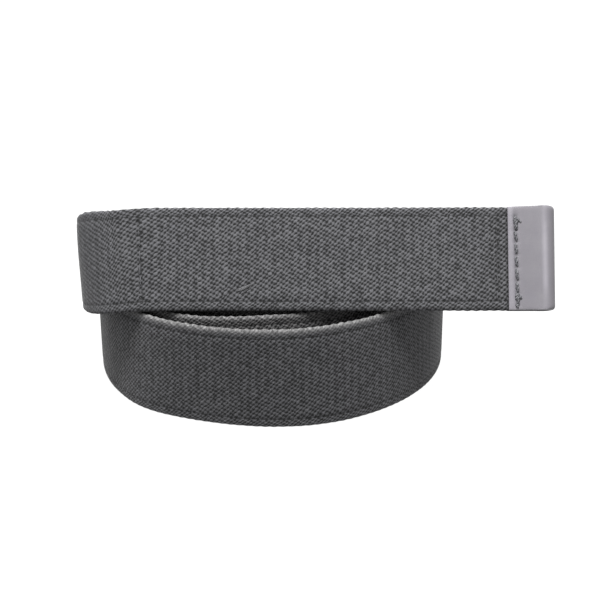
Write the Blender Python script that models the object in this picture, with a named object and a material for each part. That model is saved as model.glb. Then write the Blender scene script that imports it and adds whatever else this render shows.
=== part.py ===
"""Stretching strap: elastic webbing with a hand loop sewn at one end, coiled on edge.

Metres, +Z up.  The coil stands on its edge on Z = 0.  The webbing climbs off the back of
the coil, turns the front left corner and lies across the coil's rim as the hand loop.
"""

import math

import bmesh
import bpy
from mathutils import Vector

for old in list(bpy.data.objects):
    bpy.data.objects.remove(old, do_unlink=True)

# webbing
WIDTH = 0.040
THICK = 0.0022
SELVEDGE = 0.0034
GAP = 0.0003

# where the coil and the panel stand, chosen so that the origin is the middle of the base
COIL_X = -0.01718
COIL_Y = -0.00055

# outer surface of the coil is 74 mm from its middle; (turned angle in degrees, radius)
SPIRAL = (
    (0.0, 0.0754), (90.0, 0.0751), (180.0, 0.0739), (205.0, 0.0737), (232.0, 0.0741),
    (256.0, 0.0747), (278.0, 0.0736), (293.0, 0.0738), (311.0, 0.0757), (326.0, 0.0747),
    (343.0, 0.0733), (362.0, 0.0728),
    (450.0, 0.0698), (540.0, 0.0645), (585.0, 0.0606), (615.0, 0.0581), (630.0, 0.0586),
    (645.0, 0.0625), (660.0, 0.0666), (680.0, 0.0696), (720.0, 0.0699), (750.0, 0.0690),
    (810.0, 0.0663), (900.0, 0.0592), (930.0, 0.0555), (960.0, 0.0520), (990.0, 0.0502),
    (1010.0, 0.0512), (1030.0, 0.0552), (1050.0, 0.0605), (1080.0, 0.0655),
    (1110.0, 0.0652), (1140.0, 0.0632), (1190.0, 0.0600),
)
INNER_TURN_FROM = 362.0
CORE_TURN_FROM = 730.0
END_FROM = 1096.0
COIL_STOPS = 1160.0
# how far the wall of the coil leans in; (turned angle in degrees, slope)
WALL = (
    (190.0, 0.0), (222.0, 0.045), (246.0, 0.056), (264.0, 0.030), (280.0, 0.0),
    (295.0, 0.0), (311.0, 0.028), (330.0, 0.0),
)

# panel that lies on the rim
PANEL_Y = COIL_Y - 0.0575
PANEL_Z = 0.0418
PANEL_LEAN = math.radians(26.0)
TURN_RADIUS = 0.0165
TURN_X = COIL_X - 0.0568
DROOP = 0.0009
DROOP_FROM = 0.016
DROOP_SLOPE = 2 * DROOP / DROOP_FROM
TURN_FALL = 0.0061
RISE = (
    (0.0259, 0.0348), (0.035, 0.0317), (0.055, 0.0255), (0.095, 0.0135),
    (0.141, 0.0041), (0.187, 0.0),
)

# along the panel, X measured from the middle of the coil
LOOP_SEAM = COIL_X - 0.0488
LOOP_START = COIL_X - 0.0564
TIP_SEAM = COIL_X + 0.0890
LINK_START = COIL_X + 0.0845
TAB_START = COIL_X + 0.0932
TAB_END = COIL_X + 0.1116

TAB_THICK = 0.0009
TAB_OVER = 0.0002
TAB_STITCH = 0.0031
STITCH = 0.0050
THREAD = 0.0007
THREAD_GAP = 0.00008

HEM = 0.020

parts = bpy.data.collections.new("stretching_strap")
bpy.context.scene.collection.children.link(parts)


# ---------------------------------------------------------------- curve helpers
def through(knots, at):
    """Smooth curve through (place, value) knots, held level beyond both ends."""
    if at <= knots[0][0]:
        return knots[0][1]
    if at >= knots[-1][0]:
        return knots[-1][1]
    last = len(knots) - 1
    i = 0
    while knots[i + 1][0] < at:
        i += 1
    (x0, y0), (x1, y1) = knots[i], knots[i + 1]
    before = knots[max(i - 1, 0)]
    after = knots[min(i + 2, last)]
    m0 = (y1 - before[1]) / (x1 - before[0])
    m1 = (after[1] - y0) / (after[0] - x0)
    h = x1 - x0
    t = (at - x0) / h
    a = (1 + 2 * t) * (1 - t) ** 2
    b = t * (1 - t) ** 2
    c = t * t * (3 - 2 * t)
    d = t * t * (t - 1)
    return a * y0 + b * h * m0 + c * y1 + d * h * m1


def spiral_point(turned):
    radius = through(SPIRAL, turned)
    angle = math.pi - math.radians(turned)
    return Vector((COIL_X + radius * math.cos(angle), COIL_Y + radius * math.sin(angle)))


def lead_point(t):
    """From the end of the corner turn back to the left of the coil."""
    start = Vector((TURN_X - TURN_RADIUS, PANEL_Y + TURN_RADIUS))
    end = spiral_point(0.0)
    reach = (end - start).length
    go = Vector((0.0, reach))
    leave = spiral_point(0.5) - end
    leave = leave.normalized() * reach
    a = (1 + 2 * t) * (1 - t) ** 2
    b = t * (1 - t) ** 2
    c = t * t * (3 - 2 * t)
    d = t * t * (t - 1)
    return a * start + b * go + c * end + d * leave


def turn_point(t):
    angle = -math.pi / 2 - t * math.pi / 2
    x = TURN_X + TURN_RADIUS * math.cos(angle)
    y = PANEL_Y + TURN_RADIUS + TURN_RADIUS * math.sin(angle)
    return Vector((x, y))


TURN_LENGTH = TURN_RADIUS * math.pi / 2


def build_route():
    """Plan points with their distance from the start of the corner turn."""
    plan = []
    for i in range(24):
        plan.append(("turn", turn_point(i / 24)))
    for i in range(24):
        plan.append(("lead", lead_point(i / 24)))
    steps = int(COIL_STOPS)
    for i in range(steps + 1):
        plan.append((float(i), spiral_point(float(i))))
    run = 0.0
    route = []
    for i, (mark, point) in enumerate(plan):
        if i:
            run += (point - plan[i - 1][1]).length
        route.append((run, mark, point))
    return route


ROUTE = build_route()
LENGTH = ROUTE[-1][0]


def distance_at(turned):
    for run, mark, _ in ROUTE:
        if not isinstance(mark, str) and mark >= turned:
            return run
    return LENGTH


def plan_at(run):
    if run <= 0.0:
        return Vector((TURN_X - run, PANEL_Y))
    low, high = 0, len(ROUTE) - 1
    while high - low > 1:
        mid = (low + high) // 2
        if ROUTE[mid][0] <= run:
            low = mid
        else:
            high = mid
    a, b = ROUTE[low], ROUTE[high]
    t = (run - a[0]) / (b[0] - a[0])
    return a[2].lerp(b[2], t)


def turned_at(run):
    """Angle turned round the coil, 0 before the coil begins."""
    low, high = 0, len(ROUTE) - 1
    while high - low > 1:
        mid = (low + high) // 2
        if ROUTE[mid][0] <= run:
            low = mid
        else:
            high = mid
    mark = ROUTE[low][1]
    return 0.0 if isinstance(mark, str) else mark


def ease(value):
    share = min(max(value, 0.0), 1.0)
    return share * share * (3 - 2 * share)


def height_at(run):
    if run <= -DROOP_FROM:
        return PANEL_Z + 0.0002 * ease((-0.054 - run) / 0.110)
    if run <= 0.0:
        return PANEL_Z - DROOP * ((run + DROOP_FROM) / DROOP_FROM) ** 2
    if run < TURN_LENGTH:
        onward = DROOP_SLOPE * TURN_RADIUS
        turn = run / TURN_RADIUS
        fallen = onward * math.sin(turn) + (TURN_FALL - onward) * (1 - math.cos(turn))
        return PANEL_Z - DROOP - fallen
    return through(RISE, run)


def edge_at(run):
    p = plan_at(run)
    return Vector((p.x, p.y, height_at(run)))


LEANING = Vector((0.0, math.sin(PANEL_LEAN), math.cos(PANEL_LEAN)))
UPRIGHT = Vector((0.0, 0.0, 1.0))


def frame_at(run, step=0.0006):
    """Bottom edge point, direction along, across and towards the inside."""
    here = edge_at(run)
    along = (edge_at(run + step) - edge_at(run - step)).normalized()
    lean = LEANING.lerp(UPRIGHT, ease(run / 0.031))
    sideways = ease((run + DROOP_FROM) / DROOP_FROM) * (1 - ease((run - 0.0200) / 0.050))
    lean = lean - Vector((0.042 * sideways, 0.0, 0.0))
    across = (lean - lean.dot(along) * along).normalized()
    inside = along.cross(across).normalized()
    wall = through(WALL, turned_at(run))
    if wall:
        across = (across + inside * wall).normalized()
        inside = along.cross(across).normalized()
    return here, along, across, inside


# ---------------------------------------------------------------- solids
def half_profile(width, thick):
    """Side of the webbing: rounded edge, woven selvedge and a shallow groove beside it."""
    half = thick / 2
    return (
        (0.0, half * 0.45), (0.00025, half * 0.80), (0.0008, half),
        (SELVEDGE - 0.0004, half), (SELVEDGE, half * 0.86), (SELVEDGE + 0.0004, half),
        (width - SELVEDGE - 0.0004, half), (width - SELVEDGE, half * 0.86),
        (width - SELVEDGE + 0.0004, half),
        (width - 0.0008, half), (width - 0.00025, half * 0.80), (width, half * 0.45),
    )


def finish(name, bm, material):
    bmesh.ops.recalc_face_normals(bm, faces=bm.faces)
    mesh = bpy.data.meshes.new(name)
    bm.to_mesh(mesh)
    bm.free()
    body = bpy.data.objects.new(name, mesh)
    body.data.materials.append(material)
    parts.objects.link(body)
    return body


def loft(name, rings, material):
    bm = bmesh.new()
    made = [[bm.verts.new(p) for p in ring] for ring in rings]
    count = len(made[0])
    for a, b in zip(made, made[1:]):
        for i in range(count):
            j = (i + 1) % count
            bm.faces.new((a[i], a[j], b[j], b[i]))
    bm.faces.new(made[0])
    bm.faces.new(list(reversed(made[-1])))
    return finish(name, bm, material)


def section(frame, offset=0.0, width=WIDTH, thick=THICK):
    here, along, across, inside = frame
    side = half_profile(width, thick)
    ring = [here + across * v + inside * (offset - h) for v, h in side]
    ring += [here + across * v + inside * (offset + h) for v, h in reversed(side)]
    return ring


def spaced(start, end, step):
    count = max(1, round((end - start) / step))
    return [start + (end - start) * i / count for i in range(count + 1)]


def ribbon(name, start, end, step, material, offset=0.0):
    rings = [section(frame_at(run), offset) for run in spaced(start, end, step)]
    return loft(name, rings, material)


def run_of_x(x):
    """Distance along the strap of a place on the straight panel; it is negative there."""
    return TURN_X - x


def material(name, colour, rough):
    made = bpy.data.materials.new(name)
    made.use_nodes = True
    shader = made.node_tree.nodes["Principled BSDF"]
    shader.inputs["Base Color"].default_value = (*colour, 1.0)
    shader.inputs["Roughness"].default_value = rough
    return made


GREY = (0.105, 0.107, 0.113)


def webbing(name):
    return material(name, GREY, 0.85)


# ---------------------------------------------------------------- coil, riser and corner
on_coil = distance_at(90.0)
inner_from = distance_at(INNER_TURN_FROM)
core_from = distance_at(CORE_TURN_FROM)
end_from = distance_at(END_FROM)

ribbon("corner_turn", run_of_x(LOOP_START) + GAP, TURN_LENGTH, 0.0016, webbing("corner_turn"))
ribbon("riser", TURN_LENGTH + GAP, on_coil, 0.0050, webbing("riser"))
ribbon("outer_turn", on_coil + GAP, inner_from, 0.0050, webbing("outer_turn"))
ribbon("inner_turn", inner_from + GAP, core_from, 0.0050, webbing("inner_turn"))
ribbon("core_turn", core_from + GAP, end_from, 0.0050, webbing("core_turn"))
ribbon("inner_end", end_from + GAP, LENGTH, 0.0050, webbing("inner_end"))
ribbon(
    "inner_hem", LENGTH - HEM, LENGTH - 0.0010, 0.0040, webbing("inner_hem"), THICK + GAP
)

# ---------------------------------------------------------------- hand loop and end tab
layer = THICK + GAP
ribbon("loop_front", run_of_x(LINK_START - GAP), run_of_x(LOOP_START), 0.005,
       webbing("loop_front"))
ribbon("loop_back", run_of_x(LINK_START - GAP), run_of_x(LOOP_SEAM - 0.005), 0.005,
       webbing("loop_back"), layer)
ribbon("link_front", run_of_x(TAB_START - GAP), run_of_x(LINK_START), 0.005,
       webbing("link_front"))
ribbon("link_back", run_of_x(TAB_START - GAP), run_of_x(LINK_START), 0.005,
       webbing("link_back"), layer)


def panel_frame(x):
    """Frame on the straight panel, looking towards the coil along -X."""
    return frame_at(run_of_x(x))


def fold_curve(reach, outer, steps=8):
    """Half circle at the end of a folded sheet: list of (x, offset) from front to back."""
    middle = layer / 2
    points = []
    for i in range(steps + 1):
        angle = -math.pi / 2 + math.pi * i / steps
        points.append((reach + outer * math.cos(angle), middle + outer * math.sin(angle)))
    return points


def folded(name, start, reach, inner, outer, low, high, made_of, corner=0.0):
    """A sheet folded round the end of the panel, from start to its rounded fold."""
    base, _, across, inside = panel_frame(TAB_START)
    base = Vector((0.0, base.y, base.z))
    sheet_out = [(start, layer / 2 - outer)] + fold_curve(reach, outer)
    sheet_out += [(start, layer / 2 + outer)]
    sheet_in = [(start, layer / 2 - inner)] + fold_curve(reach, inner)
    sheet_in += [(start, layer / 2 + inner)]
    levels = [(low, corner), (low + corner * 0.3, corner * 0.3), (low + corner, 0.0)]
    levels += [(high - corner, 0.0), (high - corner * 0.3, corner * 0.3), (high, corner)]
    if corner == 0.0:
        levels = [(low, 0.0), (high, 0.0)]
    rings = []
    for v, cut in levels:
        ring = []
        for x, n in sheet_out + list(reversed(sheet_in)):
            x = min(x, x - cut * (x - start) / (reach - start))
            ring.append(base + Vector((x, 0.0, 0.0)) + across * v + inside * n)
        rings.append(ring)
    return loft(name, rings, made_of)


fold_reach = TAB_END - TAB_THICK - GAP - THICK - GAP / 2
folded("folded_end", TAB_START, fold_reach - 0.0014, GAP / 2, GAP / 2 + THICK, 0.0, WIDTH,
       webbing("folded_end"))
lining = GAP / 2 + THICK + GAP
folded("end_tab", TAB_START, fold_reach, lining, lining + TAB_THICK, -TAB_OVER,
       WIDTH + TAB_OVER, material("end_tab", (0.36, 0.34, 0.38), 0.45), 0.0012)


# ---------------------------------------------------------------- sewing threads
def thread(name, frame, surface, low, high, outward):
    """One row of lock stitches: a single thread that dips between the stitches."""
    here, along, across, inside = frame
    count = round((high - low) / STITCH)
    pitch = (high - low) / count
    rings = []
    for i in range(count * 6 + 1):
        v = low + pitch * i / 6
        swell = math.sin(math.pi * (i % 6) / 6)
        wide = THREAD * (0.30 + 0.32 * swell)
        tall = THREAD * (0.30 + 0.50 * swell)
        foot = surface + outward * THREAD_GAP
        ring = []
        for a, h in ((-1.0, 0.0), (-0.75, 0.75), (0.0, 1.0), (0.75, 0.75), (1.0, 0.0)):
            place = here + across * v + along * (a * wide)
            ring.append(place + inside * (foot + outward * h * tall))
        rings.append(ring)
    return loft(name, rings, material(name, (0.06, 0.07, 0.07), 0.7))


def panel_thread(name, x, surface, low, high, outward):
    return thread(name, panel_frame(x), surface, low, high, outward)


front = -THICK / 2
back = layer + THICK / 2
panel_thread("loop_seam_front", LOOP_SEAM, front, 0.0045, 0.0355, -1.0)
panel_thread("loop_seam_back", LOOP_SEAM, back, 0.0045, 0.0355, 1.0)
panel_thread("tip_seam_front", TIP_SEAM, front, 0.0045, 0.0355, -1.0)
panel_thread("tip_seam_back", TIP_SEAM, back, 0.0045, 0.0355, 1.0)
tab_face = layer / 2 - lining - TAB_THICK
tab_rear = layer / 2 + lining + TAB_THICK
panel_thread("tab_seam_front", TAB_START + TAB_STITCH, tab_face, 0.0035, 0.0355, -1.0)
panel_thread("tab_seam_back", TAB_START + TAB_STITCH, tab_rear, 0.0035, 0.0355, 1.0)

hem_place = frame_at(LENGTH - HEM + 0.004)
thread("hem_seam_outer", hem_place, -THICK / 2, 0.0045, 0.0355, -1.0)
thread("hem_seam_inner", hem_place, layer + THICK / 2, 0.0045, 0.0355, 1.0)
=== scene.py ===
"""Looks for the elastic stretching strap: woven webbing, sewn rows and the leatherette tab."""

import math
import random

import bpy
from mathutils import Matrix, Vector


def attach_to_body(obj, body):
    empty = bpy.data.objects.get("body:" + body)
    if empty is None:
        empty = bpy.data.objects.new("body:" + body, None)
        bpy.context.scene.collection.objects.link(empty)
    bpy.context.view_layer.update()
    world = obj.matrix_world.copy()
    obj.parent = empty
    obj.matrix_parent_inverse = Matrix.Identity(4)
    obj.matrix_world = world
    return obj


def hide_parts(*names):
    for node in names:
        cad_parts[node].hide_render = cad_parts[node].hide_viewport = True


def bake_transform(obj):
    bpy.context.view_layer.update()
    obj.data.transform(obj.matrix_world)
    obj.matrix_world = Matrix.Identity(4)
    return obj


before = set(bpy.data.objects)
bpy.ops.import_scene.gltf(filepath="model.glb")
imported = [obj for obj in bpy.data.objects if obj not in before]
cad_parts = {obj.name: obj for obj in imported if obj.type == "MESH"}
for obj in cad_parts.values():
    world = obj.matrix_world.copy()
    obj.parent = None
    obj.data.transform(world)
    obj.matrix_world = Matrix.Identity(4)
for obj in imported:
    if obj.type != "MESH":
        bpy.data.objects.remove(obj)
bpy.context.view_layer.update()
random.seed(11)

# ------------------------------------------------------------------ sizes, in metres
WIDTH = 0.040
THICK = 0.0022
SELVEDGE = 0.0034
PICOT = 0.00344
GAP = 0.0003
COIL_X = -0.01718
COIL_Y = -0.00055
SPIRAL = (
    (0.0, 0.0754), (90.0, 0.0751), (180.0, 0.0739), (205.0, 0.0737), (232.0, 0.0741),
    (256.0, 0.0747), (278.0, 0.0736), (293.0, 0.0738), (311.0, 0.0757), (326.0, 0.0747),
    (343.0, 0.0733), (362.0, 0.0728),
    (450.0, 0.0698), (540.0, 0.0645), (585.0, 0.0606), (615.0, 0.0581), (630.0, 0.0586),
    (645.0, 0.0625), (660.0, 0.0666), (680.0, 0.0696), (720.0, 0.0699), (750.0, 0.0690),
    (810.0, 0.0663), (900.0, 0.0592), (930.0, 0.0555), (960.0, 0.0520), (990.0, 0.0502),
    (1010.0, 0.0512), (1030.0, 0.0552), (1050.0, 0.0605), (1080.0, 0.0655),
    (1110.0, 0.0652), (1140.0, 0.0632), (1190.0, 0.0600),
)
INNER_TURN_FROM = 362.0
CORE_TURN_FROM = 730.0
END_FROM = 1096.0
COIL_STOPS = 1160.0
WALL = (
    (190.0, 0.0), (222.0, 0.045), (246.0, 0.056), (264.0, 0.030), (280.0, 0.0),
    (295.0, 0.0), (311.0, 0.028), (330.0, 0.0),
)
PANEL_Y = COIL_Y - 0.0575
PANEL_Z = 0.0418
PANEL_LEAN = math.radians(26.0)
TURN_RADIUS = 0.0165
TURN_X = COIL_X - 0.0568
TURN_LENGTH = TURN_RADIUS * math.pi / 2
DROOP = 0.0009
DROOP_FROM = 0.016
DROOP_SLOPE = 2 * DROOP / DROOP_FROM
TURN_FALL = 0.0061
RISE = (
    (0.0259, 0.0348), (0.035, 0.0317), (0.055, 0.0255), (0.095, 0.0135),
    (0.141, 0.0041), (0.187, 0.0),
)
LOOP_SEAM = COIL_X - 0.0488
LOOP_START = COIL_X - 0.0564
TIP_SEAM = COIL_X + 0.0890
LINK_START = COIL_X + 0.0845
TAB_START = COIL_X + 0.0932
TAB_END = COIL_X + 0.1116
TAB_THICK = 0.0009
TAB_OVER = 0.0002
TAB_STITCH = 0.0031
STITCH = 0.0050
HEM = 0.020
HEM_GAP = 0.0004
HEM_SEAM_IN = 0.004  # from the hem's raw edge to its stitch row
BACK_PAST_SEAM = 0.005  # the loop's back layer ends this far past its seam
TAB_BEND = 0.004  # the webbing bends over this length beside the tab
FOLD_SLACK = 0.0014
LAYER = THICK + GAP
SAMPLE_STEP = 0.00043
EDGE = 0.0009  # width of the scalloped edge
ROW_MIDDLE = 0.018  # the tab's stitch row leans about this height
ROW_LEAN = 0.0166
TAB_CORNER = 0.0016
TAB_THREAD = 0.00062, 0.00020, 0.0007  # radius, rise above and depth below the surface
WEB_THREAD = 0.00024, 0.00004, 0.0004
FOLD_SHIFT = 0.21  # keeps the hidden fold's weave clear of the looks of corner and rim
# the weave's ribs, in turns per millimetre along and across the strap
RIB_ALONG = 0.592
RIB_ACROSS = 0.537
CROSS_ALONG = 0.296
CROSS_ACROSS = 0.540
# the camera: an image 595 wide, with a focal length counted in the same units
IMAGE_WIDTH = 595.0
FOCAL_LENGTH = 1200.0
SENSOR = 36.0


# ------------------------------------------------------------------ the strap's route
def through(knots, at):
    """Smooth curve through (place, value) knots, level beyond both ends."""
    if at <= knots[0][0]:
        return knots[0][1]
    if at >= knots[-1][0]:
        return knots[-1][1]
    last = len(knots) - 1
    i = 0
    while knots[i + 1][0] < at:
        i += 1
    (x0, y0), (x1, y1) = knots[i], knots[i + 1]
    before = knots[max(i - 1, 0)]
    after = knots[min(i + 2, last)]
    m0 = (y1 - before[1]) / (x1 - before[0])
    m1 = (after[1] - y0) / (after[0] - x0)
    h = x1 - x0
    t = (at - x0) / h
    a = (1 + 2 * t) * (1 - t) ** 2
    b = t * (1 - t) ** 2
    c = t * t * (3 - 2 * t)
    d = t * t * (t - 1)
    return a * y0 + b * h * m0 + c * y1 + d * h * m1


def spiral_point(turned):
    radius = through(SPIRAL, turned)
    angle = math.pi - math.radians(turned)
    return Vector((COIL_X + radius * math.cos(angle), COIL_Y + radius * math.sin(angle)))


def lead_point(t):
    start = Vector((TURN_X - TURN_RADIUS, PANEL_Y + TURN_RADIUS))
    end = spiral_point(0.0)
    reach = (end - start).length
    leave = (spiral_point(0.5) - end).normalized() * reach
    a = (1 + 2 * t) * (1 - t) ** 2
    b = t * (1 - t) ** 2
    c = t * t * (3 - 2 * t)
    d = t * t * (t - 1)
    return a * start + b * Vector((0.0, reach)) + c * end + d * leave


def turn_point(t):
    angle = -math.pi / 2 - t * math.pi / 2
    x = TURN_X + TURN_RADIUS * math.cos(angle)
    y = PANEL_Y + TURN_RADIUS + TURN_RADIUS * math.sin(angle)
    return Vector((x, y))


def build_route():
    plan = [("turn", turn_point(i / 24)) for i in range(24)]
    plan += [("lead", lead_point(i / 24)) for i in range(24)]
    plan += [(float(i), spiral_point(float(i))) for i in range(int(COIL_STOPS) + 1)]
    run = 0.0
    route = []
    for i, (mark, point) in enumerate(plan):
        if i:
            run += (point - plan[i - 1][1]).length
        route.append((run, mark, point))
    return route


ROUTE = build_route()
LENGTH = ROUTE[-1][0]


def distance_at(turned):
    for run, mark, _ in ROUTE:
        if not isinstance(mark, str) and mark >= turned:
            return run
    return LENGTH


def plan_at(run):
    if run <= 0.0:
        return Vector((TURN_X - run, PANEL_Y))
    low, high = 0, len(ROUTE) - 1
    while high - low > 1:
        mid = (low + high) // 2
        if ROUTE[mid][0] <= run:
            low = mid
        else:
            high = mid
    a, b = ROUTE[low], ROUTE[high]
    t = (run - a[0]) / (b[0] - a[0])
    return a[2].lerp(b[2], t)


def turned_at(run):
    """Angle turned round the coil, 0 before the coil begins."""
    low, high = 0, len(ROUTE) - 1
    while high - low > 1:
        mid = (low + high) // 2
        if ROUTE[mid][0] <= run:
            low = mid
        else:
            high = mid
    mark = ROUTE[low][1]
    return 0.0 if isinstance(mark, str) else mark


def ease(value):
    share = min(max(value, 0.0), 1.0)
    return share * share * (3 - 2 * share)


def sloped_height(run):
    if run <= -DROOP_FROM:
        return PANEL_Z + 0.0002 * ease((-0.054 - run) / 0.110)
    if run <= 0.0:
        return PANEL_Z - DROOP * ((run + DROOP_FROM) / DROOP_FROM) ** 2
    if run < TURN_LENGTH:
        onward = DROOP_SLOPE * TURN_RADIUS
        turn = run / TURN_RADIUS
        fallen = onward * math.sin(turn) + (TURN_FALL - onward) * (1 - math.cos(turn))
        return PANEL_Z - DROOP - fallen
    return through(RISE, run)


def height_at(run):
    """Lower edge's height; the webbing can't crease sideways where the corner ends."""
    reach = 0.006 * ease((0.018 - abs(run - TURN_LENGTH)) / 0.008)
    if reach == 0.0:
        return sloped_height(run)
    return sum(sloped_height(run + reach * i / 6) for i in range(-6, 7)) / 13


def edge_at(run):
    p = plan_at(run)
    return Vector((p.x, p.y, height_at(run)))


LEANING = Vector((0.0, math.sin(PANEL_LEAN), math.cos(PANEL_LEAN)))
UPRIGHT = Vector((0.0, 0.0, 1.0))


def frame_at(run):
    """Bottom edge point, direction along, across and towards the inside.

    Where the corner ends the webbing eases out of its twist instead of creasing.
    """
    here, along, across, inside = twisted_frame(run)
    reach = 0.0055 * ease((0.020 - abs(run - TURN_LENGTH)) / 0.010)
    if reach > 0.0:
        across = Vector((0.0, 0.0, 0.0))
        for i in range(-6, 7):
            across += twisted_frame(run + reach * i / 6)[2]
        across.normalize()
        inside = along.cross(across).normalized()
    return here, along, across, inside


def twisted_frame(run, step=0.0006):
    here = edge_at(run)
    along = (edge_at(run + step) - edge_at(run - step)).normalized()
    lean = LEANING.lerp(UPRIGHT, ease(run / 0.031))
    sideways = ease((run + DROOP_FROM) / DROOP_FROM) * (1 - ease((run - 0.0200) / 0.050))
    lean = lean - Vector((0.042 * sideways, 0.0, 0.0))
    across = (lean - lean.dot(along) * along).normalized()
    inside = along.cross(across).normalized()
    wall = through(WALL, turned_at(run))
    if wall:
        across = (across + inside * wall).normalized()
        inside = along.cross(across).normalized()
    return here, along, across, inside


def run_of_x(x):
    return TURN_X - x


# ------------------------------------------------------------------ shader helpers
class Nodes:
    """Small expression builder over one material's node tree."""

    def __init__(self, material):
        self.tree = material.node_tree
        self.shader = self.tree.nodes["Principled BSDF"]

    def new(self, kind):
        return self.tree.nodes.new(kind)

    def wire(self, value, socket):
        if isinstance(value, bpy.types.NodeSocket):
            self.tree.links.new(value, socket)
        else:
            socket.default_value = value

    def math(self, operation, a, b=0.0, c=0.0):
        node = self.new("ShaderNodeMath")
        node.operation = operation
        for value, socket in zip((a, b, c), node.inputs):
            self.wire(value, socket)
        return node.outputs[0]

    def add(self, a, b):
        return self.math("ADD", a, b)

    def sub(self, a, b):
        return self.math("SUBTRACT", a, b)

    def mul(self, a, b):
        return self.math("MULTIPLY", a, b)

    def wave(self, phase):
        """Cosine of a phase counted in turns, from 0 to 1."""
        turned = self.mul(phase, 2 * math.pi)
        return self.math("MULTIPLY_ADD", self.math("COSINE", turned), 0.5, 0.5)

    def ramp(self, value, low, high, out_low=0.0, out_high=1.0, smooth=True):
        node = self.new("ShaderNodeMapRange")
        node.interpolation_type = "SMOOTHSTEP" if smooth else "LINEAR"
        for key, v in zip((0, 1, 2, 3, 4), (value, low, high, out_low, out_high)):
            self.wire(v, node.inputs[key])
        return node.outputs[0]

    def noise(self, where, scale, detail=2.0, rough=0.5):
        node = self.new("ShaderNodeTexNoise")
        node.noise_dimensions = "3D"
        self.wire(where, node.inputs["Vector"])
        node.inputs["Scale"].default_value = scale
        node.inputs["Detail"].default_value = detail
        node.inputs["Roughness"].default_value = rough
        return node.outputs[0]

    def combine(self, x, y, z=0.0):
        node = self.new("ShaderNodeCombineXYZ")
        for value, socket in zip((x, y, z), node.inputs):
            self.wire(value, socket)
        return node.outputs[0]

    def attribute(self, name):
        node = self.new("ShaderNodeAttribute")
        node.attribute_name = name
        split = self.new("ShaderNodeSeparateXYZ")
        self.tree.links.new(node.outputs["Vector"], split.inputs[0])
        return split.outputs[0], split.outputs[1], split.outputs[2]

    def mix(self, share, a, b):
        node = self.new("ShaderNodeMix")
        node.data_type = "RGBA"
        self.wire(share, node.inputs[0])
        self.wire(a, node.inputs[6])
        self.wire(b, node.inputs[7])
        return node.outputs[2]

    def scaled(self, colour, factor):
        """A colour times a number that varies over the surface."""
        node = self.new("ShaderNodeVectorMath")
        node.operation = "SCALE"
        self.wire(colour[:3] if isinstance(colour, tuple) else colour, node.inputs[0])
        self.wire(factor, node.inputs["Scale"])
        return node.outputs[0]

    def bump(self, height, depth, strength=1.0, under=None):
        node = self.new("ShaderNodeBump")
        node.inputs["Strength"].default_value = strength
        node.inputs["Distance"].default_value = depth
        self.wire(height, node.inputs["Height"])
        if under is not None:
            self.wire(under, node.inputs["Normal"])
        return node.outputs[0]


def new_material(name):
    material = bpy.data.materials.new(name)
    material.use_nodes = True
    return material, Nodes(material)


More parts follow.
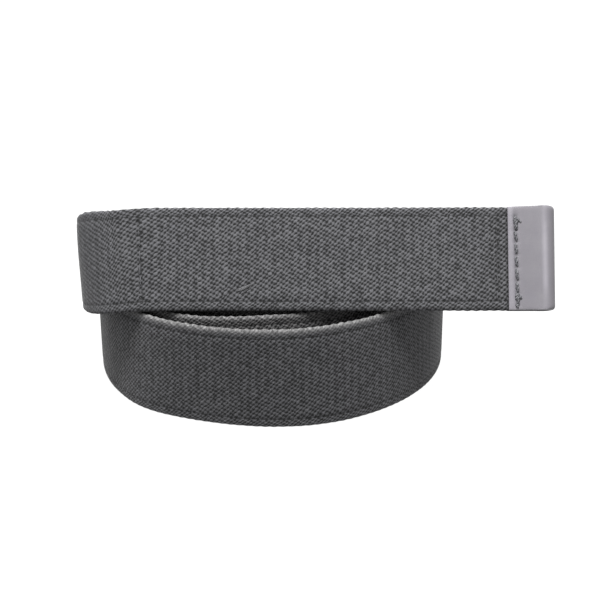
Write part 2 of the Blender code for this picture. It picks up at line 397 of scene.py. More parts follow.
def webbing_material(name, seams=(), shade=None, holes=()):
    """Diagonal elastic weave from the strap's own coordinates: along, across, from the edge.

    The weave attribute is in millimetres, and so is everything here.  seams lists places
    along the strap where a stitch row has pulled holes into the weave.  shade is where the
    tab's mouth begins to shade it.  holes lists single needle holes, along and across.
    """
    material, n = new_material(name)
    along, across, edge = n.attribute("weave")
    right = n.mul(along, -1.0)
    where = n.combine(right, across, 0.0)
    drift = n.noise(where, 0.30, 2.0)
    drift2 = n.noise(n.combine(right, across, 37.0), 0.33, 2.0)
    crowd = n.ramp(along, -6.0, 30.0, 0.0, 8.5)
    x = n.sub(n.add(right, n.mul(n.sub(drift, 0.5), 1.5)), crowd)
    y = n.add(across, n.mul(n.sub(drift2, 0.5), 1.2))

    # ribs that rise to the right, ribs that fall, and the slower repeat they share
    rising = n.sub(n.mul(x, RIB_ALONG), n.mul(y, RIB_ACROSS))
    falling = n.add(n.mul(x, CROSS_ALONG), n.mul(y, CROSS_ACROSS))
    ribs = n.wave(rising)
    cross = n.wave(falling)
    upright = n.wave(n.mul(x, CROSS_ALONG))
    against = n.wave(n.sub(n.mul(x, CROSS_ALONG), n.mul(y, 0.538)))
    share = n.ramp(along, 0.0, 12.0, 0.52, 0.24)
    share = n.math("MAXIMUM", share, n.ramp(along, 28.0, 54.0, 0.24, 0.54))
    body = n.add(n.mul(ribs, share), n.mul(cross, n.sub(0.96, share)))
    body = n.add(body, n.mul(n.sub(upright, 0.5), 0.15))
    body = n.add(body, n.mul(n.sub(against, 0.5), 0.13))

    # the selvedge is the same weave beaten closer
    tight = n.wave(n.sub(n.mul(x, RIB_ALONG), n.mul(y, 0.70)))
    tight2 = n.wave(n.add(n.mul(x, CROSS_ALONG), n.mul(y, 0.64)))
    border = n.add(n.mul(tight, 0.54), n.mul(tight2, 0.40))
    in_border = n.ramp(edge, 2.6, 3.8, 1.0, 0.0)
    pattern = n.add(n.mul(border, in_border), n.mul(body, n.sub(1.0, in_border)))

    # each bead of yarn is a little lighter or darker than the next
    cell = n.new("ShaderNodeTexWhiteNoise")
    cell.noise_dimensions = "3D"
    spot = n.combine(n.math("ROUND", rising), n.math("ROUND", falling), 5.0)
    n.wire(spot, cell.inputs["Vector"])
    bead = n.ramp(cell.outputs[0], 0.0, 1.0, -1.0, 1.0, smooth=False)
    yarn = n.noise(n.combine(right, across, 9.0), 1.7, 4.0, 0.72)
    blotch = n.noise(where, 0.055, 3.0, 0.55)

    # shallow groove beside the selvedge, where the binder yarn dips now and then
    groove_at = n.math("ABSOLUTE", n.sub(edge, 3.4))
    dots = n.wave(n.mul(x, CROSS_ALONG))
    groove = n.mul(n.ramp(groove_at, 0.0, 0.6, 1.0, 0.0), n.add(0.15, n.mul(dots, 0.85)))

    height = n.add(pattern, n.mul(bead, 0.10))
    height = n.add(height, n.mul(n.sub(yarn, 0.5), 1.10))
    height = n.sub(height, n.mul(groove, 0.30))

    # pulled tight round the corner the weave opens and its relief fades
    tight_by = n.mul(n.ramp(along, -4.0, 15.0), n.ramp(along, 28.0, 54.0, 1.0, 0.0))
    relief = n.sub(n.ramp(along, 50.0, 90.0, 1.0, 0.90), n.mul(tight_by, 0.66))
    height = n.add(0.5, n.mul(n.sub(height, 0.5), relief))

    tone = n.ramp(height, 0.06, 0.90, 0.02, 1.87)
    tone = n.mul(tone, n.add(1.0, n.mul(bead, 0.10)))
    tone = n.mul(tone, n.add(0.93, n.mul(blotch, 0.14)))
    tone = n.mul(tone, n.sub(1.0, n.mul(groove, 0.20)))

    # painted shade: the corner is a few per cent darker than the panel
    dim = n.mul(n.ramp(along, -14.0, -4.0), n.ramp(along, 28.0, 54.0, 1.0, 0.0))
    tone = n.mul(tone, n.sub(1.0, n.mul(dim, 0.06)))

    # painted highlight on the loose fibre along the very edge, strongest round the coil's rim
    tuft = n.noise(n.combine(right, n.mul(edge, 0.6), 3.0), 1.5, 4.0, 0.75)
    tuft = n.ramp(tuft, 0.30, 0.70, 0.35, 1.60, smooth=False)
    fringe_highlight = n.mul(n.ramp(edge, 0.2, 1.5, 1.0, 0.0), tuft)
    tone = n.mul(n.add(tone, n.mul(fringe_highlight, 0.10)), n.add(1.0, n.mul(fringe_highlight, 0.30)))
    on_rim = n.mul(n.ramp(along, 34.0, 70.0), n.ramp(across, 19.0, 21.0))

    # painted light: the inner turns are paler and warmer, and their rims get less of the
    # painted highlight
    inner_lit = n.ramp(along, inner_from * 1000 - 70.0, inner_from * 1000 + 20.0)
    reach = n.sub(2.7, n.mul(inner_lit, 1.2))
    # painted highlight: the coil's rim is made much paler, broadest on the outer turn
    rim = n.mul(n.ramp(edge, 0.2, reach, 1.0, 0.0, smooth=False), on_rim)
    rim_highlight_gain = n.sub(1.66, n.mul(inner_lit, 1.0))
    rim_tone = n.add(n.mul(tone, n.sub(1.0, n.mul(rim, 0.35))), n.mul(rim, rim_highlight_gain))
    tone = n.mul(rim_tone, n.add(n.sub(1.0, rim), n.mul(rim, tuft)))

    # painted shade: the panel's lowest half millimetre is darker, where its edge curls under
    under = n.mul(n.ramp(across, -0.6, 0.5, 1.0, 0.0), n.ramp(along, 20.0, 40.0, 1.0, 0.0))
    tone = n.mul(tone, n.sub(1.0, n.mul(under, 0.40)))
    if shade is not None:
        tone = n.mul(tone, n.ramp(along, shade, shade + 1.6, 0.58, 1.0))

    for place in seams:
        away = n.math("ABSOLUTE", n.sub(along, place))
        pulled = n.ramp(away, 0.2, 1.3, 1.0, 0.0)
        hole = n.math("POWER", n.wave(n.mul(n.sub(across, 3.6), 0.2)), 5.0)
        deep = n.noise(n.combine(place, across, 1.0), 0.13, 1.0)
        hole = n.mul(hole, n.ramp(deep, 0.35, 0.6, 0.35, 1.0))
        tone = n.mul(tone, n.sub(1.0, n.mul(n.mul(pulled, hole), 0.80)))
        tone = n.mul(tone, n.sub(1.0, n.mul(pulled, 0.08)))
        height = n.sub(height, n.mul(pulled, n.add(0.25, hole)))

    for place, up in holes:
        aside, above = n.sub(along, place), n.sub(across, up)
        gap = n.add(n.mul(aside, aside), n.mul(above, above))
        tone = n.mul(tone, n.ramp(gap, 0.04, 0.80, 0.18, 1.0))

    yarn_tint = n.mix(blotch, YARN_COOL, YARN_WARM)
    yarn_tint = n.mix(inner_lit, yarn_tint, n.mix(blotch, INNER_LIT_COOL, INNER_LIT_WARM))
    yarn_tint = n.mix(n.mul(rim, n.sub(0.9, n.mul(inner_lit, 0.5))), yarn_tint, RIM_HIGHLIGHT_TINT)
    base = n.scaled(yarn_tint, tone)
    n.wire(base, n.shader.inputs["Base Color"])
    n.wire(0.86, n.shader.inputs["Roughness"])
    n.wire(0.18, n.shader.inputs["Specular IOR Level"])
    n.wire(0.07, n.shader.inputs["Sheen Weight"])
    n.wire(0.45, n.shader.inputs["Sheen Roughness"])
    fine = n.noise(where, 9.0, 2.0, 0.6)
    first = n.bump(fine, 0.00003, 0.5)
    n.wire(n.bump(height, 0.00022, 0.85, first), n.shader.inputs["Normal"])
    return material


YARN_COOL = (0.0236, 0.0237, 0.0259, 1.0)
YARN_WARM = (0.0244, 0.0244, 0.0254, 1.0)
# paler, warmer yarn of the inner turns: painted light
INNER_LIT_COOL = (0.0390, 0.0384, 0.0396, 1.0)
INNER_LIT_WARM = (0.0416, 0.0406, 0.0402, 1.0)
# tint of the painted highlight on the coil's rims
RIM_HIGHLIGHT_TINT = (0.0249, 0.0245, 0.0243, 1.0)


# ------------------------------------------------------------------ meshes
def mesh_object(name, verts, faces, material, smooth=True):
    mesh = bpy.data.meshes.new(name)
    mesh.from_pydata(verts, [], faces)
    mesh.validate()
    mesh.update()
    if smooth:
        mesh.polygons.foreach_set("use_smooth", [True] * len(mesh.polygons))
    made = bpy.data.objects.new(name, mesh)
    made.data.materials.append(material)
    bpy.context.scene.collection.objects.link(made)
    return made


def store(obj, name, values):
    layer = obj.data.attributes.new(name, "FLOAT_VECTOR", "POINT")
    flat = [c for value in values for c in value]
    layer.data.foreach_set("vector", flat)


def side_places():
    """Distances across the webbing: close together at the edges and the grooves."""
    low = [0.0, 0.00006, 0.0002, 0.00045, 0.0008, 0.0012, 0.0017, 0.0023, 0.0029, 0.0034,
           0.0039, 0.0046]
    count = 18
    mid = [low[-1] + (WIDTH - 2 * low[-1]) * i / count for i in range(1, count)]
    return low + mid + [WIDTH - v for v in reversed(low)]


def half_thickness(v):
    """Rounded edge, slightly thinner woven selvedge and a groove beside it."""
    e = min(v, WIDTH - v)
    half = THICK / 2
    if e < 0.0012:
        return half * (0.14 + 0.78 * math.sqrt(1 - (1 - e / 0.0012) ** 2))
    dip = math.exp(-(((e - SELVEDGE) / 0.00045) ** 2)) * 0.10
    body = 0.92 + 0.08 * min(max((e - SELVEDGE) / 0.0008, 0.0), 1.0)
    return half * (body - dip)


def ripple(run, v):
    """Slow unevenness of a soft strap, in metres."""
    a = math.sin(run * 61.0 + 1.3) * math.sin(v * 95.0 + run * 17.0)
    b = math.sin(run * 143.0 + v * 60.0 + 0.4)
    return 0.00007 * a + 0.00004 * b


def tuck(run, v):
    """The edges draw in where the strap is pulled round its corner."""
    e = min(v, WIDTH - v)
    drawn = 0.0021 * math.exp(-(((run - 0.0225) / 0.0065) ** 2))
    drawn *= max(1 - e / 0.010, 0.0) ** 2
    return 0.6 * drawn if v < WIDTH / 2 else -drawn


def cup(run, v):
    """The upper edge leans in over the corner, in metres towards the inside."""
    over = max((v - 0.020) / 0.020, 0.0)
    return 0.0008 * math.exp(-(((run - 0.024) / 0.012) ** 2)) * over ** 2


def picot(run):
    """Edge scallops where the weft turns back."""
    wave = 0.5 + 0.5 * math.cos(2 * math.pi * run / PICOT)
    slow = 0.5 + 0.5 * math.sin(run * 311.0) * math.sin(run * 97.0 + 2.0)
    reach = 0.00024 + 0.00016 * ease((run - 0.030) / 0.030)
    return reach * wave * (0.5 + 0.8 * slow)


def hang(run):
    """How far the panel's lower edge droops, in metres.  The coil's stands on the floor."""
    return 0.00026 * (1 - ease((run + 0.012) / 0.020))


def samples_along(start, end, offset=0.0):
    """Even samples of the route: run, point, along, across and inside."""
    count = max(2, round((end - start) / SAMPLE_STEP))
    found = []
    for i in range(count + 1):
        run = start + (end - start) * i / count
        here, along, across, inside = frame_at(run)
        found.append((run, here + inside * offset, along, across, inside))
    return found


def samples_fold(last, reach, steps=14):
    """A half turn towards the inside after the last sample, to a layer reach away."""
    run, here, along, across, inside = last
    radius = reach / 2
    middle = here + inside * radius
    found = []
    for i in range(1, steps + 1):
        angle = -math.pi / 2 + math.pi * i / steps
        out = along * math.cos(angle) + inside * math.sin(angle)
        onward = inside * math.cos(angle) - along * math.sin(angle)
        distance = run + radius * (angle + math.pi / 2)
        found.append((distance, middle + out * radius, onward, across, -out))
    return found


def strip(name, samples, material, seams=(), wavy=True, loose=True):
    """One stretch of webbing as a closed solid with its own weave coordinates."""
    places = side_places()
    verts, weave = [], []
    for run, here, along, across, inside in samples:
        scallop = picot(run)
        sag = hang(run) if loose else 0.0
        pull = sum(math.exp(-(((run - seam) / 0.0007) ** 2)) for seam in seams)
        for side in (-1, 1):
            for v in places if side < 0 else reversed(places):
                e = min(v, WIDTH - v)
                h = half_thickness(v)
                if pull > 0.01 and e > 0.003:
                    dips = 0.5 + 0.5 * math.cos(2 * math.pi * (v - 0.0036) / STITCH)
                    h -= pull * (0.00010 + 0.00020 * dips ** 3)
                at_edge = max(1 - e / EDGE, 0.0)
                out = scallop * at_edge
                if v < WIDTH / 2:
                    out = -out * (0.4 + 2000.0 * sag) - sag * at_edge
                n = side * h + cup(run, v) + (ripple(run, v) if wavy else 0.0)
                across_by = v + out + tuck(run, v)
                verts.append(tuple(here + across * across_by + inside * n))
                weave.append((run * 1000, (v + side * THICK / 2) * 1000, e * 1000))
    ring = 2 * len(places)
    rows = len(samples)
    faces = []
    for i in range(rows - 1):
        a, b = i * ring, (i + 1) * ring
        for j in range(ring):
            k = (j + 1) % ring
            faces.append((a + j, a + k, b + k, b + j))
    faces.append(tuple(reversed(range(ring))))
    faces.append(tuple(range((rows - 1) * ring, rows * ring)))
    made = mesh_object(name, verts, faces, material)
    for cap in made.data.polygons[-2:]:
        cap.use_smooth = False
    store(made, "weave", weave)
    return made


def stretch(name, start, end, material, offset=0.0, seams=(), loose=True):
    return strip(name, samples_along(start, end, offset), material, seams, loose=loose)


# ------------------------------------------------------------------ camera, first
def place_camera():
    """In front of the panel, looking down 21 degrees."""
    data = bpy.data.cameras.new("camera")
    data.sensor_width = SENSOR
    data.lens = FOCAL_LENGTH * SENSOR / IMAGE_WIDTH
    data.clip_start = 0.02
    camera = bpy.data.objects.new("camera", data)
    camera.location = (COIL_X + 0.0115, COIL_Y - 0.490, 0.2131)
    camera.rotation_euler = (math.radians(69.0), 0.0, 0.0)
    bpy.context.scene.collection.objects.link(camera)
    bpy.context.scene.camera = camera


place_camera()

# ------------------------------------------------------------------ webbing
on_coil = distance_at(90.0)
inner_from = distance_at(INNER_TURN_FROM)
core_from = distance_at(CORE_TURN_FROM)
end_from = distance_at(END_FROM)
loop_seam = run_of_x(LOOP_SEAM)
tip_seam = run_of_x(TIP_SEAM)
loop_start = run_of_x(LOOP_START)
link_start = run_of_x(LINK_START)
tab_start = run_of_x(TAB_START)
hem_seam = LENGTH - HEM + HEM_SEAM_IN

plain = webbing_material("webbing")
loop_weave = webbing_material(
    "webbing_loop", (loop_seam * 1000,),
    holes=[(loop_seam * 1000, up) for up in (34.3, 24.3, 9.8, 3.9)],
)
link_weave = webbing_material(
    "webbing_link", (tip_seam * 1000,), tab_start * 1000,
    holes=[(tip_seam * 1000 + 0.2 * (i % 2), 6.8 + 4.7 * i) for i in range(6)],
)


def attach(piece, body, node):
    """Webbing that moves with one body."""
    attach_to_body(piece, body)
    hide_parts(node)
    return piece


riser = attach(stretch("web_riser", TURN_LENGTH, on_coil, plain), "coil", "riser")
outer = attach(stretch("web_outer_turn", on_coil, inner_from, plain), "coil", "outer_turn")
inner = attach(stretch("web_inner_turn", inner_from, core_from, plain), "coil", "inner_turn")
core = attach(stretch("web_core_turn", core_from, end_from, plain), "coil", "core_turn")

corner = stretch("web_corner", loop_start, TURN_LENGTH, plain)
loop_front = stretch("web_loop_front", link_start, loop_start, loop_weave,
                     seams=(loop_seam,))
back_end = run_of_x(LOOP_SEAM - BACK_PAST_SEAM)
loop_back = stretch("web_loop_back", link_start, back_end, loop_weave, LAYER,
                    seams=(loop_seam,), loose=False)
link_front = stretch("web_link_front", tab_start, link_start, link_weave,
                     seams=(tip_seam,))
link_back = stretch("web_link_back", tab_start, link_start, link_weave, LAYER,
                    seams=(tip_seam,), loose=False)

# the folded end inside the tab: out along the front layer, round, and back behind it
fold_reach = TAB_END - TAB_THICK - GAP - THICK - GAP / 2 - FOLD_SLACK
fold_run = run_of_x(fold_reach)
going = []
for run, here, along, across, inside in reversed(samples_along(fold_run, tab_start)):
    going.append((-run - FOLD_SHIFT, here, -along, across, -inside))
last_run, last_here, last_along, last_across, last_inside = going[-1]
rounding = []
for run, here, along, across, inside in samples_fold(
    (last_run, last_here, last_along, last_across, -last_inside), LAYER
):
    rounding.append((run, here, along, across, -inside))
coming = []
for run, here, along, across, inside in samples_along(fold_run, tab_start, LAYER):
    coming.append((rounding[-1][0] + run - fold_run, here, along, across, inside))
fold = strip("web_folded_end", going + rounding + coming[1:], plain, wavy=False,
             loose=False)

end_samples = samples_along(end_from, LENGTH)
hem_turn = samples_fold(end_samples[-1], LAYER + HEM_GAP)
hem_start = hem_turn[-1][0]
hem_inner_seam = hem_start + LENGTH - hem_seam
hem_weave = webbing_material("webbing_hem", (hem_seam * 1000, hem_inner_seam * 1000))
inner_end = strip("web_inner_end", end_samples + hem_turn[:7], hem_weave, (hem_seam,))
hem_back = []
for run, here, along, across, inside in samples_along(LENGTH - HEM, LENGTH, LAYER + HEM_GAP):
    hem_back.append((hem_start + LENGTH - run, here, -along, across, -inside))
hem_back.reverse()
inner_hem = strip("web_inner_hem", hem_turn[6:-1] + hem_back, hem_weave,
                  (hem_inner_seam,))

attach(fold, "end_tab", "folded_end")
attach(inner_end, "inner_end", "inner_end")
attach(inner_hem, "inner_end", "inner_hem")


# ------------------------------------------------------------------ leatherette tab
def leatherette(name):
    material, n = new_material(name)
    x, y, z = n.attribute("hide")
    where = n.combine(x, y, z)
    grain = n.new("ShaderNodeTexVoronoi")
    grain.feature = "DISTANCE_TO_EDGE"
    n.wire(where, grain.inputs["Vector"])
    grain.inputs["Scale"].default_value = 2.1
    creases = n.ramp(grain.outputs["Distance"], 0.0, 0.16, 0.0, 1.0)
    soft = n.noise(where, 0.16, 3.0, 0.5)
    fine = n.noise(where, 5.5, 3.0, 0.6)
    rubbed = n.ramp(n.noise(where, 0.6, 4.0, 0.6), 0.45, 0.75, 0.0, 1.0)
    tone = n.add(0.95, n.mul(soft, 0.10))
    tone = n.mul(tone, n.add(0.985, n.mul(creases, 0.02)))
    tone = n.mul(tone, n.add(1.0, n.mul(n.sub(fine, 0.5), 0.05)))
    on_row = n.add(x, n.mul(n.sub(y, ROW_MIDDLE * 1000), ROW_LEAN))
    away = n.math("ABSOLUTE", n.sub(on_row, TAB_STITCH * 1000))
    # painted shade in the valley along the stitch row
    row = n.mul(n.ramp(away, 0.2, 1.3, 1.0, 0.0), n.ramp(y, 36.5, 38.0, 1.0, 0.0))
    tone = n.mul(tone, n.sub(1.0, n.mul(row, 0.16)))
    # painted highlights: the folded lip beyond the row and the ridge over the webbing's end
    # are paler
    lip = n.ramp(on_row, 1.9, 2.7, 1.0, 0.0)
    tone = n.mul(tone, n.add(1.0, n.mul(lip, 0.24)))
    ridge = n.ramp(n.math("ABSOLUTE", n.sub(x, 14.2)), 0.0, 1.7, 1.0, 0.0)
    ends = n.mul(n.ramp(y, 3.0, 12.0, 0.35, 1.0), n.ramp(y, 28.0, 38.0, 1.0, 0.45))
    ridge_highlight_patches = n.add(0.65, n.mul(n.noise(n.combine(0.0, y, 4.0), 0.35, 4.0, 0.6), 0.7))
    tone = n.mul(tone, n.add(1.0, n.mul(n.mul(ridge, ends), n.mul(ridge_highlight_patches, 0.52))))
    # painted shade on the rolled outer edge, and a painted highlight along the top edge
    tone = n.mul(tone, n.ramp(x, 15.6, 17.6, 1.0, 0.92))
    tone = n.mul(tone, n.add(1.0, n.mul(n.ramp(y, 37.6, 39.6), 0.10)))
    base = n.scaled(n.mix(soft, TAB_COOL, TAB_WARM), tone)
    n.wire(base, n.shader.inputs["Base Color"])
    n.wire(n.add(0.40, n.mul(rubbed, 0.10)), n.shader.inputs["Roughness"])
    n.wire(0.26, n.shader.inputs["Specular IOR Level"])
    first = n.bump(fine, 0.00002, 0.35)
    n.wire(n.bump(creases, 0.00003, 0.45, first), n.shader.inputs["Normal"])
    return material


TAB_COOL = (0.0744, 0.0705, 0.0799, 1.0)
TAB_WARM = (0.0774, 0.0741, 0.0799, 1.0)
HOLES = (0.0360, 0.0308, 0.0262, 0.0212, 0.0162, 0.0110, 0.0060, 0.0012)
TAB_HALF = GAP / 2 + THICK + GAP + TAB_THICK
TAB_SLANT = 0.0003


def swell(x, v):
    """How far the tab's face stands from the flat, x from its inner edge."""
    edge = -0.00045 * math.exp(-x / 0.0007)
    row = TAB_STITCH + (ROW_MIDDLE - v) * ROW_LEAN
    valley = math.exp(-(((x - row) / 0.0012) ** 2))
    inside_row = 1.0 / (1.0 + math.exp((v - 0.0375) / 0.0006))
    inside_row *= 1.0 / (1.0 + math.exp((0.0008 - v) / 0.0006))
    near = min(abs(v - hole) for hole in HOLES)
    pinch = math.exp(-((near / 0.0007) ** 2))
    valley *= -(0.00030 + 0.00018 * pinch) * inside_row
    bulge = 0.00030 * math.exp(-(((x - 0.0140) / 0.0017) ** 2))
    hollow = -0.00010 * math.exp(-(((x - 0.0085) / 0.0030) ** 2))
    puff = 0.00012 * math.exp(-(((x - 0.0016) / 0.0009) ** 2)) * inside_row
    slow = 0.00004 * math.sin(v * 420.0 + x * 160.0) * math.sin(v * 170.0 + 1.0)
    return edge + valley + bulge + hollow + puff + slow


def tab_profile():
    """(x from the inner edge, direction out) round the outside of the folded tab."""
    straight = TAB_END - TAB_START - TAB_HALF
    points = []
    for i in range(64):
        points.append((straight * i / 64, 0.0, -1.0))
    for i in range(25):
        angle = -math.pi / 2 + math.pi * i / 24
        points.append((straight, math.cos(angle), math.sin(angle)))
    for i in range(64):
        points.append((straight * (1 - (i + 1) / 64), 0.0, 1.0))
    return points


def build_tab():
    here, along, across, inside = frame_at(tab_start)
    base = here + inside * (LAYER / 2)
    onward = -along
    low, high = -TAB_OVER, WIDTH + TAB_OVER
    heights = [0.0, 0.00015, 0.0004, 0.0008, 0.0013, 0.0019]
    middle = [0.0019 + (high - low - 0.0038) * i / 72 for i in range(1, 72)]
    total = high - low
    levels = heights + middle + [total - h for h in reversed(heights)]
    verts, hide = [], []
    profile = tab_profile()
    for level in levels:
        v = low + level
        near = min(level, total - level)
        into = max(TAB_CORNER - near, 0.0)
        cut = TAB_CORNER - math.sqrt(TAB_CORNER ** 2 - into ** 2)
        soft = 0.00012 * math.exp(-near / 0.0003)
        for skin in (0, 1):
            for x, fx, fn in profile if skin == 0 else reversed(profile):
                share = x / (TAB_END - TAB_START - TAB_HALF)
                reach = TAB_HALF + swell(x, v) - soft
                if fx > 0.0:
                    reach = TAB_HALF + swell(x, v) * (1 - fx)
                if skin:
                    reach -= TAB_THICK * (0.55 + 0.45 * min(x / 0.0012, 1.0))
                slant = TAB_SLANT * v / WIDTH * share
                place_x = x + fx * reach - cut * share ** 4 + slant
                wider = v / WIDTH * (0.00052 * share - 0.00012)
                point = base + onward * place_x + across * (v + wider) + inside * (fn * reach)
                verts.append(tuple(point))
                hide.append((place_x * 1000, v * 1000, fn * reach * 1000))
    ring = 2 * len(profile)
    faces = []
    for i in range(len(levels) - 1):
        a, b = i * ring, (i + 1) * ring
        for j in range(ring):
            k = (j + 1) % ring
            faces.append((a + j, b + j, b + k, a + k))
    half = len(profile)
    for row, flip in ((0, True), (len(levels) - 1, False)):
        a = row * ring
        for j in range(half - 1):
            quad = (a + j, a + j + 1, a + ring - 2 - j, a + ring - 1 - j)
            faces.append(quad if flip else tuple(reversed(quad)))
    made = mesh_object("tab_leatherette", verts, faces, leatherette("leatherette"))
    store(made, "hide", hide)
    return made


tab = build_tab()
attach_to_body(tab, "end_tab")
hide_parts("end_tab")


# ------------------------------------------------------------------ sewing thread
def thread_material(name, colour):
    material, n = new_material(name)
    length, turned, tint = n.attribute("twine")
    fibres = n.wave(n.add(n.mul(turned, 5.0), n.mul(length, 1.4)))
    fuzz = n.noise(n.combine(length, turned, tint), 3.0, 3.0, 0.7)
    tone = n.add(0.72, n.mul(fibres, 0.26))
    tone = n.mul(tone, n.add(0.80, n.mul(fuzz, 0.40)))
    tone = n.mul(tone, n.add(0.90, n.mul(tint, 0.20)))
    n.wire(n.scaled(colour, tone), n.shader.inputs["Base Color"])
    n.wire(0.62, n.shader.inputs["Roughness"])
    n.wire(0.35, n.shader.inputs["Specular IOR Level"])
    n.wire(n.bump(fibres, 0.00004, 0.6), n.shader.inputs["Normal"])
    return material


def tube(path, radius, tint, verts, faces, twine, sides=8):
    first = len(verts)
    length = 0.0
    for i, point in enumerate(path):
        if i:
            length += (point - path[i - 1]).length
        ahead = path[min(i + 1, len(path) - 1)] - path[max(i - 1, 0)]
        ahead.normalize()
        spare = Vector((0.0, 0.0, 1.0)) if abs(ahead.z) < 0.8 else Vector((1.0, 0.0, 0.0))
        a = ahead.cross(spare).normalized()
        b = ahead.cross(a)
        taper = min(1.0, 0.45 + 2.6 * min(i, len(path) - 1 - i) / len(path))
        for j in range(sides):
            angle = 2 * math.pi * j / sides
            out = a * math.cos(angle) + b * math.sin(angle)
            verts.append(tuple(point + out * radius * taper))
            mirrored = min(j, sides - j) / sides
            twine.append((length * 1000, mirrored, tint))
    for i in range(len(path) - 1):
        p, q = first + i * sides, first + (i + 1) * sides
        for j in range(sides):
            k = (j + 1) % sides
            faces.append((p + j, p + k, q + k, q + j))
    faces.append(tuple(reversed(range(first, first + sides))))
    last = first + (len(path) - 1) * sides
    faces.append(tuple(range(last, last + sides)))


def stitch_row(name, place_of, stitches, thread, material, outward, lean):
    """Two-ply stitches.  place_of(v) gives surface point, along, across and outward."""
    radius, rise, depth = thread
    verts, faces, twine = [], [], []
    for number, (v0, v1, slant, side) in enumerate(stitches):
        count = 14
        tint = random.random()
        for ply in (0, 1):
            path = []
            for i in range(count + 1):
                t = i / count
                surface, along, across, out = place_of(v0 + (v1 - v0) * t)
                lift = -depth + (depth + rise) * math.sin(math.pi * t) ** 0.28
                angle = math.pi * ply + 2 * math.pi * 1.25 * t + number
                twist_a = math.cos(angle) * radius * 0.52
                twist_b = math.sin(angle) * radius * 0.40
                sideways = slant * (2 * t - 1) + side
                sideways += lean * (ROW_MIDDLE - v0 - (v1 - v0) * t)
                point = surface + along * (sideways + twist_a)
                path.append(point + out * outward * (lift + twist_b))
            tube(path, radius * 0.62, tint, verts, faces, twine)
    made = mesh_object(name, verts, faces, material)
    store(made, "twine", twine)
    return made


def panel_place(x, surface):
    """Surface point above the straight panel at x; surface(v) is its distance out."""
    here, along, across, inside = frame_at(run_of_x(x))

    def at(v):
        return here + across * v + inside * surface(v), -along, across, inside

    return at


def sewn(name, node, body, place_of, stitches, thread, material, outward, lean=0.0):
    row = stitch_row(name, place_of, stitches, thread, material, outward, lean)
    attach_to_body(row, body)
    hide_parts(node)
    return row


tab_thread = thread_material("thread_tab", (0.050, 0.050, 0.055, 1.0))
dark_thread = thread_material("thread_webbing", (0.036, 0.036, 0.039, 1.0))

tab_stitches = []
for top, bottom in zip(HOLES, HOLES[1:]):
    slant = 0.00028 + random.uniform(-0.00006, 0.00006)
    tab_stitches.append((top - 0.0002, bottom + 0.0002, slant, random.uniform(-1, 1) * 6e-5))
# back-tacks: the machine sews to and fro over the first and last stitch
tack = [
    (0.0363, 0.0334, 0.0011, 0.0012), (0.0367, 0.0334, -0.0002, -0.0002),
    (0.0357, 0.0326, 0.0003, 0.0004), (0.0334, 0.0306, 0.0001, 0.0003),
    (0.0068, 0.0036, -0.0004, -0.0004), (0.0064, 0.0036, 0.0008, 0.0009),
    (0.0058, 0.0028, -0.0001, 0.0002), (0.0022, 0.0006, 0.0001, -0.0003),
]


def tab_face(sign):
    def out(v):
        return LAYER / 2 + sign * (TAB_HALF + swell(TAB_STITCH, v))

    return out


x_row = TAB_START + TAB_STITCH
front_rows = tab_stitches + tack
sewn("stitch_tab_front", "tab_seam_front", "end_tab", panel_place(x_row, tab_face(-1)),
     front_rows, TAB_THREAD, tab_thread, -1.0, ROW_LEAN)
sewn("stitch_tab_back", "tab_seam_back", "end_tab", panel_place(x_row, tab_face(1)),
     tab_stitches, TAB_THREAD, tab_thread, 1.0, ROW_LEAN)

row_holes = [0.0036 + STITCH * i for i in range(7)]
row = [(a + 0.0002, b - 0.0002, 0.00012, 0.0) for a, b in zip(row_holes, row_holes[1:])]


def level(distance):
    return lambda v: distance


def loosened(distance):
    """A row that sinks into the webbing except where its thread has been pulled loose."""
    return lambda v: distance - 0.00016 if 0.0100 < v < 0.0236 else distance + 0.00022


front = -THICK / 2 + 0.00010
back = LAYER + THICK / 2 - 0.00010
for label, x, body, face in (
    ("loop", LOOP_SEAM, "hand_loop", loosened(front)),
    ("tip", TIP_SEAM, "loop_tip", level(front + 0.00022)),
):
    sewn("stitch_" + label + "_front", label + "_seam_front", body,
         panel_place(x, face), row, WEB_THREAD, dark_thread, -1.0)
    sewn("stitch_" + label + "_back", label + "_seam_back", body,
         panel_place(x, level(back)), row, WEB_THREAD, dark_thread, 1.0)


def hem_place(distance):
    here, along, across, inside = frame_at(hem_seam)
    return lambda v: (here + across * v + inside * distance, along, across, inside)


sewn("stitch_hem_outer", "hem_seam_outer", "inner_end", hem_place(-THICK / 2 + 0.0002), row,
     WEB_THREAD, dark_thread, -1.0)
sewn("stitch_hem_inner", "hem_seam_inner", "inner_end",
     hem_place(LAYER + HEM_GAP + THICK / 2 - 0.0002), row, WEB_THREAD, dark_thread, 1.0)


# ------------------------------------------------------------------ webbing across the joints, baked at rest
def at_run(run):
    here, _, across, _ = frame_at(run)
    return here + across * (WIDTH / 2)


def bending(piece, node, start, end):
    """Webbing that runs across a joint, from start to end, baked in place at rest."""
    at_run(start)
    at_run(end)
    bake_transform(piece)
    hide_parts(node)


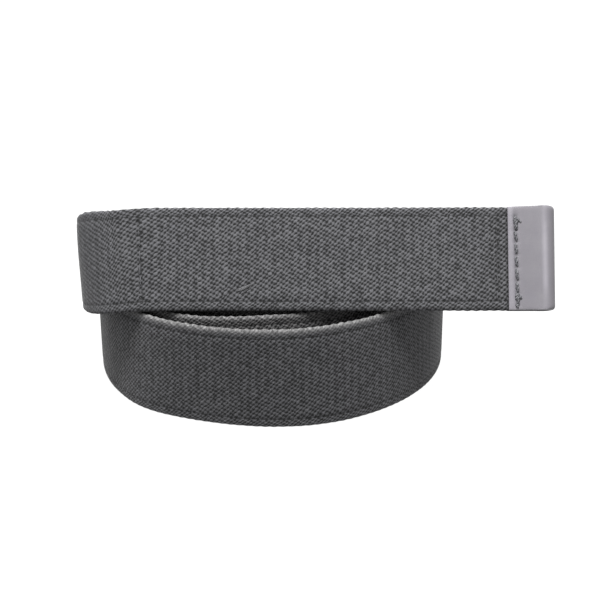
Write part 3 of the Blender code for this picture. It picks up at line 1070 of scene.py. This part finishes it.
def snag():
    """A few fibres of one yarn pulled up out of the panel's face, and a dark strand under
    them: painted shadow along the gap they left.
    """
    verts, faces, twine = [], [], []
    for strand in range(4):
        path = []
        for i in range(17):
            t = i / 16
            x = COIL_X - 0.0120 + 0.0058 * t
            v = 0.0073 + 0.00032 * strand + 0.0026 * t ** 1.6 - 0.0002 * strand * t
            here, _, across, inside = frame_at(run_of_x(x))
            lift = -0.0003 + (0.00062 + 0.00008 * strand) * math.sin(math.pi * t) ** 0.5
            path.append(here + across * v - inside * (THICK / 2 + lift))
        tube(path, 0.00014, random.random(), verts, faces, twine, sides=6)
    snagged("web_snag", verts, faces, twine, snag_thread)
    # painted shadow: a dark strand on the face, below the lifted fibres
    verts, faces, twine, path = [], [], [], []
    for i in range(15):
        t = i / 14
        here, _, across, inside = frame_at(run_of_x(COIL_X - 0.0104 + 0.0040 * t))
        path.append(here + across * (0.0061 + 0.0027 * t) - inside * (THICK / 2 + 0.00002))
    tube(path, 0.00020, random.random(), verts, faces, twine, sides=6)
    snagged("web_snag_shadow", verts, faces, twine, snag_shadow_thread)


def snagged(name, verts, faces, twine, material):
    made = mesh_object(name, verts, faces, material)
    store(made, "twine", twine)
    at_run(loop_start)
    at_run(link_start)
    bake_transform(made)


snag_thread = thread_material("thread_snag", (0.072, 0.072, 0.075, 1.0))
snag_shadow_thread = thread_material("thread_snag_shadow", (0.012, 0.012, 0.013, 1.0))
snag()
bending(corner, "corner_turn", TURN_LENGTH, loop_start)
bending(loop_front, "loop_front", loop_start, link_start)
bending(loop_back, "loop_back", back_end, link_start)
near_tab = tab_start + TAB_BEND
bending(link_front, "link_front", near_tab, tab_start)
bending(link_back, "link_back", near_tab, tab_start)


# ------------------------------------------------------------------ floor and light
def floor():
    size = 6.0
    verts = [(-size, -size, 0.0), (size, -size, 0.0), (size, size, 0.0), (-size, size, 0.0)]
    material, n = new_material("floor")
    n.wire((0.02, 0.02, 0.02, 1.0), n.shader.inputs["Base Color"])
    n.wire(0.9, n.shader.inputs["Roughness"])
    n.wire((1.0, 1.0, 1.0, 1.0), n.shader.inputs["Emission Color"])
    n.wire(0.97, n.shader.inputs["Emission Strength"])
    made = mesh_object("floor", verts, [(0, 1, 2, 3)], material, smooth=False)
    made.location.z = -0.0002


def lamp(name, location, size, energy, aim=(0.0, 0.0, 0.04)):
    data = bpy.data.lights.new(name, "AREA")
    data.shape = "RECTANGLE"
    data.size, data.size_y = size
    data.energy = energy
    made = bpy.data.objects.new(name, data)
    made.location = location
    direction = Vector(aim) - Vector(location)
    made.rotation_euler = direction.to_track_quat("-Z", "Y").to_euler()
    bpy.context.scene.collection.objects.link(made)


def studio():
    world = bpy.data.worlds.new("studio")
    bpy.context.scene.world = world
    world.use_nodes = True
    world.node_tree.nodes["Background"].inputs[0].default_value = (1.0, 1.0, 1.0, 1.0)
    world.node_tree.nodes["Background"].inputs[1].default_value = 1.15
    lamp("top", (-0.07, -0.25, 1.12), (0.5, 0.5), 57.0)
    lamp("side", (-0.81, -0.47, 0.36), (0.4, 0.4), 0.5)


floor()
studio()
bpy.context.scene.view_settings.view_transform = "Standard"
